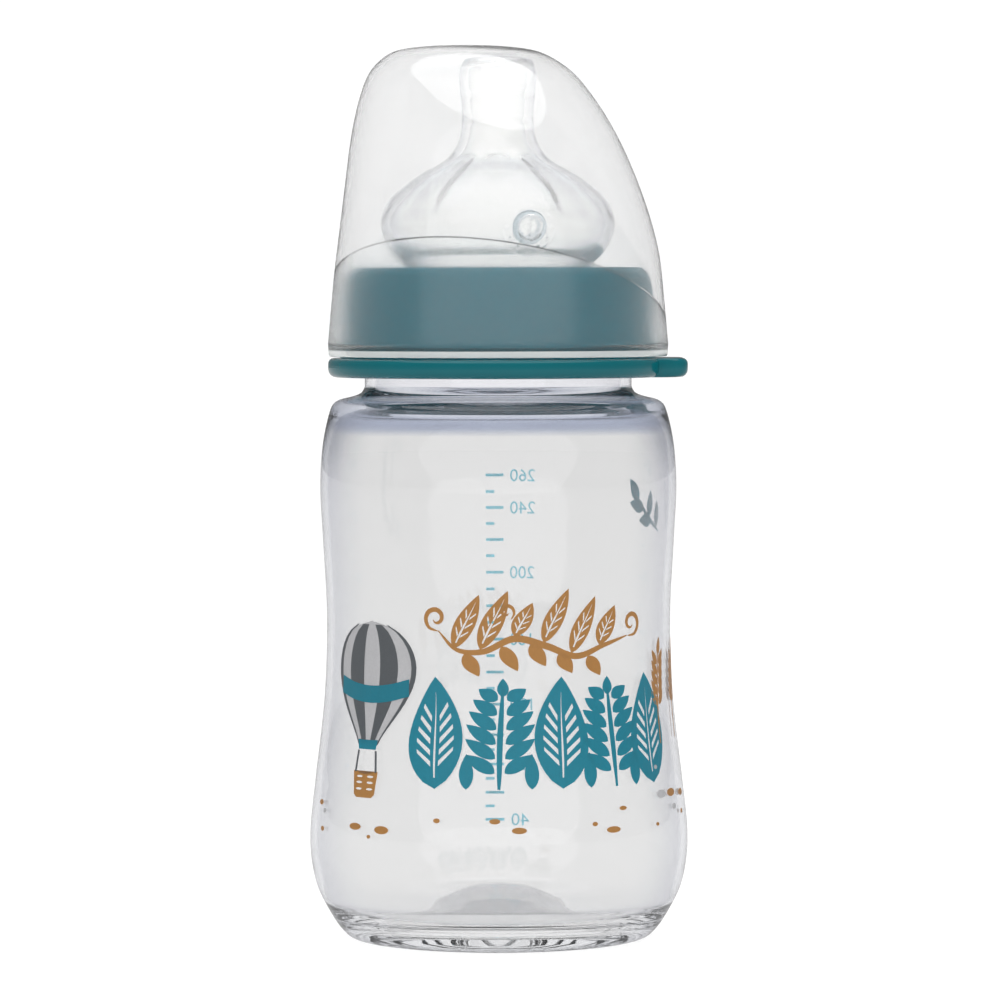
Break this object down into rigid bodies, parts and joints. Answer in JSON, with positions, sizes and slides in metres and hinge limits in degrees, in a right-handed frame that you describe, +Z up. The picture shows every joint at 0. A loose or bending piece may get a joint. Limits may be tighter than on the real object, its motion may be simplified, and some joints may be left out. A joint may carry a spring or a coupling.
{
  "type": "baby bottle",
  "caption": "Wide-neck baby feeding bottle with a waisted clear body, threaded ring, ribbed soft teat and leaning push-on dome cap.",
  "frame": {"origin": "on the table, in the middle of the standing ring under the bottle", "axes": "+Z up along the bottle's axis; +X towards the thumb tab on the screw ring; -Y towards the printed front"},
  "size_m": [0.0714, 0.0714, 0.1685],
  "materials": {
    "clear_body": "clear gloss polypropylene with a faint milky haze",
    "teal_ring": "glossy moulded, opaque",
    "silicone": "translucent silicone, soft sheen",
    "clear_cap": "clear gloss crown, frosted skirt",
    "print_teal": "screen-printed ink",
    "print_ochre": "screen-printed ink",
    "print_light_grey": "screen-printed ink",
    "print_dark_grey": "screen-printed ink"
  },
  "bodies": {
    "bottle": {"bottle": "clear_body"},
    "teat": {"teat": "silicone"},
    "ring": {"screw_ring": "teal_ring"},
    "cap": {"cap": "clear_cap"}
  },
  "joints": [
    {"name": "lid_lift", "type": "slide", "parent": "bottle", "child": "teat", "axis": [0, 0, 1], "range_m": [0, 0.0181]},
    {"name": "ring_turn", "type": "hinge", "parent": "teat", "child": "ring", "pos_m": [0, 0, 0.1062], "axis": [0, 0, 1], "range_deg": [0, 540]},
    {"name": "cap_pull", "type": "slide", "parent": "ring", "child": "cap", "axis": [0, 0, 1], "range_m": [0, 0.065]}
  ],
  "couplings": [
    {"joint": "lid_lift", "follows": "ring_turn", "m_per_rad": 0.0019098}
  ]
}
